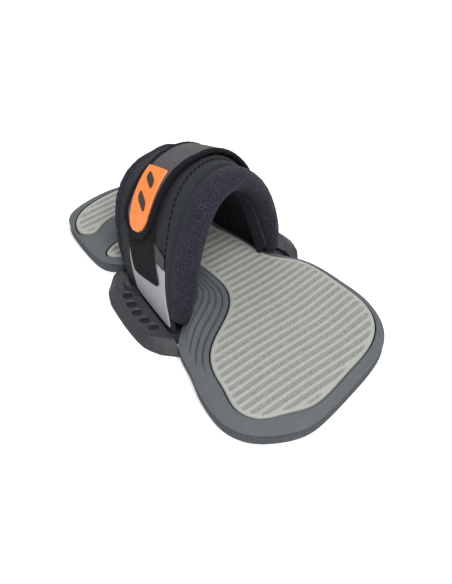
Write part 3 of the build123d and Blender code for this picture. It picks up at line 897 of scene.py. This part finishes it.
def plate():
    b = Builder()
    for side in (-1, 1):
        wing(b, side)
    slab = rounded_loop([(-66, -55), (52, -24), (66, -33), (52, 63), (-52, 42)], 160, 0.1, 2)
    holes = [np.array(c) + circle(28) * INSERT_RADIUS for c in ((-33, -14), (-33, 6), (33, 2), (33, 22))]
    b.relief([slab] + holes, np.zeros((0, 2)), lambda p: np.full(len(p), 4.5), [(0.4, 0.0), (0.0, 0.4)])
    return b.make("plate_wings", [nylon], 35)


# ---------------------------------------------------------------- strap panel and lining
HEEL_ROLL = ((12.0, 7.6), (9.3, 6.9))       # half width and half depth, each at the crown and at the feet
TOE_ROLL = ((4.3, 3.3), (6.2, 4.8))


def seam_line(t):
    """Where the stitched seam runs across the strap, nearer the heel edge at both feet."""
    degrees = 90 - np.abs(np.degrees(t) - 90)
    return 0.07 + 0.08 * smooth(degrees, 28, 78)


def outer_panel():
    s, t = np.r_[np.linspace(-3.4 / ACROSS, -0.005, 7), np.linspace(0, 1.0, 78)], turns(0, 180, 180)
    ss, tt = np.meshgrid(s, t)
    clear = np.sin(tt) ** 0.5
    lift = 1.3 * smooth(ss, 0.165, 0.20) * smooth(-ss, -0.99, -0.80) * clear
    lift += (1.1 * bump(ss, 0.03, 0.05) - 0.8 * bump(ss - seam_line(tt), 0.0, 0.012)) * clear
    lift *= 1 - 0.55 * smooth(ss, 0.22, 0.30) * smooth(-ss, -0.80, -0.72)
    lift -= 2.6 * smooth(-ss * ACROSS, 0.3, 3.4)
    wave = 0.18 * np.sin(tt * 41) * np.sin(ss * 23 + 1.2 * np.sin(tt * 7)) * clear
    outer = strap(ss, tt, lift + wave)
    inner = strap(ss, tt, -1.5 - 2.2 * smooth(-ss * ACROSS, 0, 3.4))
    b = Builder()
    b.shell(outer, inner, np.stack([ss * ACROSS, tt * ALONG], -1))
    return b.make("strap_panel", [panel_cloth], 60)


def arch_away(station, sign):
    """The direction out of the strap's flat edge at one station."""
    left, right = strap(station, 0.0, 0.0), strap(station, np.pi, 0.0)
    up = np.array([0, np.polyval(LEAN, station), np.polyval(HEIGHT, station) - FOOT])
    return unit(np.cross(right - left, up)) * sign


def roll_size(t, middle, tip):
    """A roll's half size along the arch, slimmer at both feet."""
    return tip + (middle - tip) * np.minimum(1, np.sin(t) * 2.6) ** 0.8


def lining_piece():
    """The padded inside, which comes out from under the heel roll and thins towards the toes."""
    beyond = np.r_[np.linspace(10.5, 1.0, 8), -ACROSS * np.linspace(0.0, 1.0, 46)]
    uu, tt = np.meshgrid(beyond, turns(0.6, 179.4, 140))
    ss = np.clip(-uu / ACROSS, 0, 1)
    front = smooth(uu, -44, 2)
    depth = 7.2 + 3.2 * (np.clip((1 - ss) / 0.1, 0, 1)) ** 0.5 + 0.8 * np.sin(np.pi * ss)
    depth += 0.35 * np.sin(tt * 9) * np.sin(ss * 6) - 0.9 * bump(ss, 0.62, 0.018)
    depth += (2 * roll_size(tt, *HEEL_ROLL[1]) - 0.9 - depth) * front
    aside = arch_away(0.0, 1) * (np.clip(uu, 0, None) * smooth(np.sin(tt), 0.02, 0.22))[..., None]
    b = Builder()
    # The last argument, the mark, paints shade: darker from under the heel roll across the lining towards the toe
    # edge.
    b.shell(strap(ss, tt, -3.3 - 5 * smooth(uu, -3, 3)) + aside, strap(ss, tt, -depth) + aside,
            np.stack([uu, tt * ALONG], -1), 0.9 * smooth(-uu, -13, 24))
    return b.make("strap_lining", [jersey], 60)


def roll(name, station, sign, widths, depths, rise):
    """A foam-filled edge roll, a little slimmer than its final size."""
    first, around = 0.055, 36
    t = np.linspace(first, np.pi - first, 120)
    half_width, half_depth = roll_size(t, *widths), roll_size(t, *depths)
    ends = np.clip(np.minimum(t - first, np.pi - first - t) / 0.05, 0, 1)
    taper = np.sqrt(1 - (1 - ends) ** 2) * 0.9 + 0.1
    away = arch_away(station, sign)
    overlap = 1.7 + 2.0 * smooth(-np.sin(t), -0.75, -0.35)
    at = strap(station, t, rise - half_depth) + away * (half_width - overlap)[:, None]
    along = unit(strap(station, t + 0.01, 0) - strap(station, t - 0.01, 0))
    out = unit(np.cross(along, away) * sign)
    sizes = np.stack([half_width, half_depth], 1) * taper[:, None]
    b = Builder()
    sweep(b, at, out, away[None], circle(around) * sizes[:, None])
    return b.make(name, [jersey], 60)


SWELL_FRAMES = 20


def coordinates(mesh):
    co = np.empty(len(mesh.vertices) * 3, np.float32)
    mesh.vertices.foreach_get("co", co)
    return co.reshape(-1, 3).astype(float)


def inflate(obj, voxel, cap):
    """Swells a closed cloth skin with Blender's cloth simulation and keeps the result."""
    scene, mesh = bpy.context.scene, obj.data
    remesh = obj.modifiers.new("remesh", "REMESH")
    remesh.mode, remesh.voxel_size = "VOXEL", voxel
    settle(obj)
    before = coordinates(obj.data)
    cloth = obj.modifiers.new("cloth", "CLOTH")
    cloth.settings.use_pressure = True
    cloth.settings.uniform_pressure_force = 4.0
    cloth.settings.effector_weights.gravity = 0
    cloth.settings.quality = 6
    cloth.point_cache.frame_start, cloth.point_cache.frame_end = 1, SWELL_FRAMES
    for number in range(1, SWELL_FRAMES + 1):
        scene.frame_set(number)
    graph = bpy.context.evaluated_depsgraph_get()
    grown = coordinates(obj.evaluated_get(graph).data)
    obj.modifiers.remove(cloth)
    move = grown - before
    size = np.linalg.norm(move, axis=1, keepdims=True) + 1e-12
    after = before + move * np.minimum(1, cap / size)
    obj.data.vertices.foreach_set("co", after.astype(np.float32).ravel())
    even = obj.modifiers.new("even", "SMOOTH")
    even.iterations, even.factor = 6, 0.5
    finer = obj.modifiers.new("finer", "SUBSURF")
    finer.levels = finer.render_levels = 1
    settle(obj)
    obj.data.shade_smooth()
    scene.frame_set(1)
    if mesh.users == 0:
        bpy.data.meshes.remove(mesh)


def settle(obj):
    """Applies every modifier on an object."""
    graph = bpy.context.evaluated_depsgraph_get()
    mesh = bpy.data.meshes.new_from_object(obj.evaluated_get(graph))
    obj.modifiers.clear()
    obj.data = mesh


# ---------------------------------------------------------------- the closure band
EDGE_TURNS = (30, 40, 73, 90, 132, 176)     # degrees, for the band's two edges
HEEL_EDGE = (0.32, 0.30, 0.262, 0.22, 0.23, 0.25)
TOE_EDGE = (0.80, 0.80, 0.725, 0.72, 0.735, 0.75)
BAND_MIDDLE = 4.75
BAND_TAIL = 164                 # degrees: where the band is sewn down
FLAP_LIFT = 5.05


def band_edges(t):
    """Where the band's heel and toe edges lie across the strap."""
    return [np.interp(np.degrees(t), EDGE_TURNS, edge) for edge in (HEEL_EDGE, TOE_EDGE)]


def soft_band_edges(t):
    return [softened(edge) for edge in band_edges(t)]


def softened(values, reach=9):
    """A running mean that keeps both end values."""
    kernel = np.hanning(2 * reach + 1)
    kernel /= kernel.sum()
    padded = np.r_[2 * values[0] - values[reach:0:-1], values, 2 * values[-1] - values[-2 : -reach - 2 : -1]]
    return np.convolve(padded, kernel, "valid")


def band_lift(t):
    """The band lies on the panel's padding and dips into it at its fixed end."""
    degrees = np.degrees(t)
    return BAND_MIDDLE - 2.2 * np.clip((degrees - 135) / 25, 0, 1) - 1.0 * smooth(degrees, 157, BAND_TAIL)


def band_web():
    t = turns(BAND_TAIL, 84, 150)
    v = np.linspace(0, 1, 24)
    low, high = soft_band_edges(t)
    ss = low[:, None] + (high - low)[:, None] * v
    tt = np.repeat(t[:, None], len(v), 1)
    mid = band_lift(tt)
    crown = 0.55 * np.sin(np.pi * v)[None] ** 0.7
    ripple = 0.15 * np.sin(tt * 23 + v * 3) * np.sin(np.pi * v)
    outer = strap(ss, tt, mid + 0.75 + crown + ripple)
    inner = strap(ss, tt, mid - 1.0)
    b = Builder()
    b.shell(outer, inner, np.stack([ss * ACROSS, tt * ALONG], -1))
    return b.make("band_web", [band_cloth], 50)


def tape_section(bar, press, at):
    """Folded tape seen end-on: a soft bar with a stitched line pressed into its top."""
    section = rounded_bar(*bar)
    section[:, 1] -= press * bump(section[:, 0], at, 0.5) * (section[:, 1] > 0)
    return section


def band_binding():
    t = turns(BAND_TAIL, 84, 150)
    low, high = soft_band_edges(t)
    section = tape_section((4.6, 3.5, 22, 3.2), 0.35, 0.4)
    b = Builder()
    for s in (low + 0.018, high - 0.018):
        sweep(b, *strip_path(s, t, band_lift(t)), section)
    return b.make("band_binding_tape", [edge_cloth], 60)


def flap_line(inset):
    """The flap's edge in mm, from the heel side of its root, round the tip and back."""
    side = np.linspace(88, 46, 40)
    low, high = band_edges(np.radians(side))
    tip_s = np.array([0.303, 0.335, 0.40, 0.475, 0.555, 0.635, 0.705, 0.765, 0.795])
    tip_t = np.array([42.0, 37.8, 34.2, 32.0, 31.3, 31.9, 33.8, 37.4, 41.5])
    s = np.r_[low, tip_s, high[::-1]]
    t = np.r_[side, tip_t, side[::-1]]
    p = drawn(list(zip(s, t)))
    run = np.r_[0, np.cumsum(np.linalg.norm(np.diff(p, axis=0), axis=1))]
    at = np.linspace(0, run[-1], 260)
    p = np.stack([softened(np.interp(at, run, p[:, k]), 7) for k in (0, 1)], 1)
    along = unit(np.gradient(p, axis=0))
    inward = np.stack([-along[:, 1], along[:, 0]], 1)
    return p + inward * inset


def flap_web():
    line = flap_line(1.2)
    loop = np.vstack([line, np.linspace(line[-1], line[0], 24)[1:-1]])
    loop = resample(counterclockwise(loop), 320)
    grid = lattice(loop, 1.5, 1.0)

    def height(p):
        away = distance(p, loop)
        return FLAP_LIFT + 0.85 + 0.45 * smooth(away, 0, 9) - 0.25 * (1 - np.clip(away / 1.2, 0, 1)) ** 2

    b = Builder()
    b.relief([loop], grid, height, [(FLAP_LIFT - 1.2, 0.0)], place=on_strap)
    return b.make("flap_web", [band_cloth], 50)


def flap_binding():
    line = flap_line(1.9)
    path = strip_path(line[:, 0] / ACROSS, line[:, 1] / ALONG, np.full(len(line), FLAP_LIFT))
    b = Builder()
    sweep(b, *path, tape_section((5.4, 3.7, 24, 3.0), 0.4, 0.0))
    return b.make("flap_binding_tape", [edge_cloth], 60)


def surface_patch(name, outline, base, top, material, pitch=1.5, crisp=0.12, rim=0.5, relief=None, count=260):
    """A thin patch on the strap with a rounded outline and edge."""
    loop = counterclockwise(rounded_loop(drawn(outline), count, crisp, 3))
    rings = np.concatenate([parallel(loop, -d) for d in (0.35, 0.8, 1.4)])
    grid = apart(lattice(loop, pitch, 1.7), rings, 0.5)

    def height(p):
        away = distance(p, loop)
        z = top - rim * (1 - np.clip(away / 0.9, 0, 1)) ** 2
        return z + relief(p, away) if relief else z

    b = Builder()
    b.relief([loop], np.concatenate([thin(rings, 0.3), grid]), height, [(base, 0.0)], place=on_strap)
    return b.make(name, [material], 50)


BADGE = [(0.367, 72.4), (0.366, 60), (0.368, 50), (0.380, 42.0), (0.425, 37.6), (0.51, 34.9), (0.60, 34.3),
         (0.66, 36.0), (0.689, 41), (0.693, 50), (0.692, 60), (0.690, 73.9)]


def badge_relief(p, away):
    """A raised lip round the badge."""
    return 0.28 * bump(away, 1.2, 0.5)


def badge_motif():
    """Two plain slanted bars."""
    b = Builder()
    for shift in (0.0, 13.0):
        corners = [(0.455, 45.0 + shift), (0.455, 50.5 + shift), (0.60, 56.5 + shift), (0.60, 51.0 + shift)]
        loop = counterclockwise(rounded_loop(drawn(corners), 80, 0.16, 3))
        points = lattice(loop, 1.2, 0.5)
        b.relief([loop], points, lambda p: np.full(len(p), 7.75), [(7.2, 0.0)], place=on_strap)
    return b.make("badge_bars", [ink], 50)


def pile_relief(p, away):
    """Uneven tufts that flatten towards the tape's edge."""
    x, y = p[:, 0], p[:, 1]
    rough = np.sin(x * 5.1 + 2 * np.sin(y * 3.3)) * np.sin(y * 4.7 + 2 * np.sin(x * 2.9))
    return 0.22 * rough * smooth(away, 0.2, 1.2)


# ---------------------------------------------------------------- stitching
def seam_stitches():
    b = Builder()
    t = turns(8, 172, 260)
    stitches(b, seam_line(t) + 0.004, t, np.full(len(t), 0.15), 3.1, 1.5, 0.5)
    return b.make("seam_stitches", [thread], 60)


def band_stitches():
    b = Builder()
    t = turns(BAND_TAIL - 1, 85, 200)
    low, high = soft_band_edges(t)
    for s in (low + 0.012, high - 0.012):
        stitches(b, s, t, band_lift(t) + 1.75, 2.2, 1.2, 0.3)
    across = np.linspace(low[0] + 0.05, high[0] - 0.05, 60)
    for degrees in (BAND_TAIL - 2.0, BAND_TAIL - 8.0):
        row = np.full(len(across), math.radians(degrees))
        stitches(b, across, row, band_lift(row) + 1.3, 2.2, 1.2, 0.35)
    return b.make("band_stitches", [edge_cloth], 60)


# ---------------------------------------------------------------- build and attach
def attach(obj, body, slot, *nodes):
    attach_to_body(obj, body)
    if nodes:
        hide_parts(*nodes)
    return obj


def bend(obj, fold, slot, *nodes):
    """Hides the given CAD parts and bakes the piece's transform into its mesh. fold: (bodies, first, last
    degrees); it only yields two points on the arch, which are not used.
    """
    bodies, first, last = fold
    if nodes:
        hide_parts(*nodes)
    start, end = [tuple(float(v) * MM for v in strap(0.49, math.radians(turn), BAND_MIDDLE))
                  for turn in (first, last)]
    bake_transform(obj)


attach(footbed(), "base", "footbed_foam", "footbed")
attach(deck("deck_main", deck_loop, deck_line, -162, 64), "base", "deck_foam", "main_deck")
attach(deck("deck_toe", toe_loop, toe_line, 88, 120), "base", "deck_foam", "toe_deck")
attach(plate(), "base", "plate_nylon", "chassis_plate")
attach(outer_panel(), "base", "panel_fabric", "outer_panel")
lined = attach(lining_piece(), "base", "neoprene", "strap_liner", "strap_foam")

heel_roll = roll("heel_roll", 0.0, 1, *HEEL_ROLL, 1.7)
toe_roll = roll("toe_roll", 1.0, -1, *TOE_ROLL, 3.0)
for piece, node, voxel in ((heel_roll, "heel_side_cuff", 4 * MM), (toe_roll, "toe_side_cuff", 3 * MM)):
    inflate(piece, voxel, 0.8 * MM)
    piece.data.materials.clear()
    piece.data.materials.append(jersey)
    attach(piece, "base", "neoprene", node)

attach(seam_stitches(), "base", "edge_binding")

LEFT_PATCH = [(0.757, 26), (0.775, 19.6), (0.775, 14.8), (0.757, 8.9), (0.722, 1.5), (-0.01, 2.0), (-0.005, 7.0),
              (0.037, 14.6), (0.055, 25.3), (0.075, 26.6), (0.20, 26.2), (0.50, 31), (0.74, 34)]
RIGHT_PATCH = [(s, 180 - t) for s, t in LEFT_PATCH]
for side, outline in (("left", LEFT_PATCH), ("right", RIGHT_PATCH)):
    patch = surface_patch("side_patch_" + side, outline, 0.1, 1.2, patch_cloth)
    attach(patch, "base", "coated_patch", "side_panel_" + side)
SIZING = [(0.34, 36.5), (0.27, 34.5), (0.07, 31.5), (0.062, 26), (0.18, 26.5), (0.29, 25), (0.70, 25), (0.70, 45),
          (0.34, 45)]
attach(surface_patch("sizing_tape", SIZING, 1.2, 1.9, tape_cloth), "base", "band_fabric", "sizing_strap")
LOOP = [(0.78, 40), (0.748, 26.0), (0.706, 17.0), (0.668, 12.3), (0.134, 16.8), (0.225, 26.4), (0.30, 40),
        (0.33, 62), (0.74, 62)]
loops = surface_patch("loop_pile_tape", LOOP, 1.9, 2.7, pile, pitch=1.0, relief=pile_relief, count=340)
attach(loops, "base", "loop_pile", "loop_tape")

UPPER, LOWER = (("base", "closure_band"), 137, 126), (("closure_band", "closure_flap"), 84, 74)
bend(band_web(), UPPER, "band_fabric", "band_tail", "closure_band")
bend(band_binding(), UPPER, "edge_binding", "band_binding")
bend(band_stitches(), UPPER, "edge_binding")
bend(flap_web(), LOWER, "band_fabric", "closure_flap")
bend(flap_binding(), LOWER, "edge_binding", "flap_binding")

badge = surface_patch("badge_plate", BADGE, 6.2, 7.05, orange, crisp=0.04, relief=badge_relief)
attach(badge, "closure_flap", "badge_rubber", "flap_badge")
attach(badge_motif(), "closure_flap", "badge_dark", "badge_motif")
HOOKS = [(0.36, 70), (0.36, 44), (0.44, 37), (0.55, 35.5), (0.66, 37), (0.73, 44), (0.68, 70)]
under = surface_patch("hook_patch", HOOKS, 3.0, 3.75, hooks, rim=0.2)
attach(under, "closure_flap", "hook_tape", "hook_tape")

for node, material in (("strap_core", core_plastic), ("heel_cushion", gel), ("anchor_inserts", brass),
                       ("anchor_screws", steel), ("anchor_bar_left", steel), ("anchor_bar_right", steel)):
    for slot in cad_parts[node].material_slots:
        slot.material = material

# ---------------------------------------------------------------- floor, light and camera
FLOOR = 3.0                     # half its side, in m
corners = [(x * FLOOR, y * FLOOR, 0) for x, y in ((-1, -1), (1, -1), (1, 1), (-1, 1))]
floor_mesh = bpy.data.meshes.new("floor")
floor_mesh.from_pydata(corners, [], [(0, 1, 2, 3)])
floor = bpy.data.objects.new("floor", floor_mesh)
bpy.context.scene.collection.objects.link(floor)
card = Paint("floor_card", 0.8, specular=0.2)
card.colour(card.ramp(card.noise(3, 2), (0.3, (0.86, 0.86, 0.865)), (0.7, (0.88, 0.88, 0.885))))
floor_mesh.materials.append(card.material)

world = bpy.data.worlds.new("studio")
bpy.context.scene.world = world
world.use_nodes = True
sky = world.node_tree.nodes["Background"]
sky.inputs["Color"].default_value = (1.0, 1.0, 1.0, 1)
sky.inputs["Strength"].default_value = 0.66


def lamp(name, at, size, watts):
    """A round lamp that shines at the origin."""
    data = bpy.data.lights.new(name, "AREA")
    data.shape, data.size, data.energy = "DISK", size, watts
    light = bpy.data.objects.new(name, data)
    light.location = at
    light.rotation_euler = (-Vector(at)).to_track_quat("-Z", "Y").to_euler()
    bpy.context.scene.collection.objects.link(light)


lamp("key", (-0.3, -0.75, 1.4), 0.9, 30)
lamp("back", (0.5, 0.8, 1.2), 1.2, 7)

camera_data = bpy.data.cameras.new("camera")
camera_data.lens, camera_data.sensor_width, camera_data.sensor_fit = 61.64, 36.0, "AUTO"
camera_data.clip_start = 0.01
camera = bpy.data.objects.new("camera", camera_data)
target = Vector((0.00335, -0.0265, 0.0))
camera.location = (-0.3673, -0.4683, 0.5192)
camera.rotation_euler = (target - camera.location).to_track_quat("-Z", "Y").to_euler()
bpy.context.scene.collection.objects.link(camera)
bpy.context.scene.camera = camera
bpy.context.scene.view_settings.view_transform = "Standard"
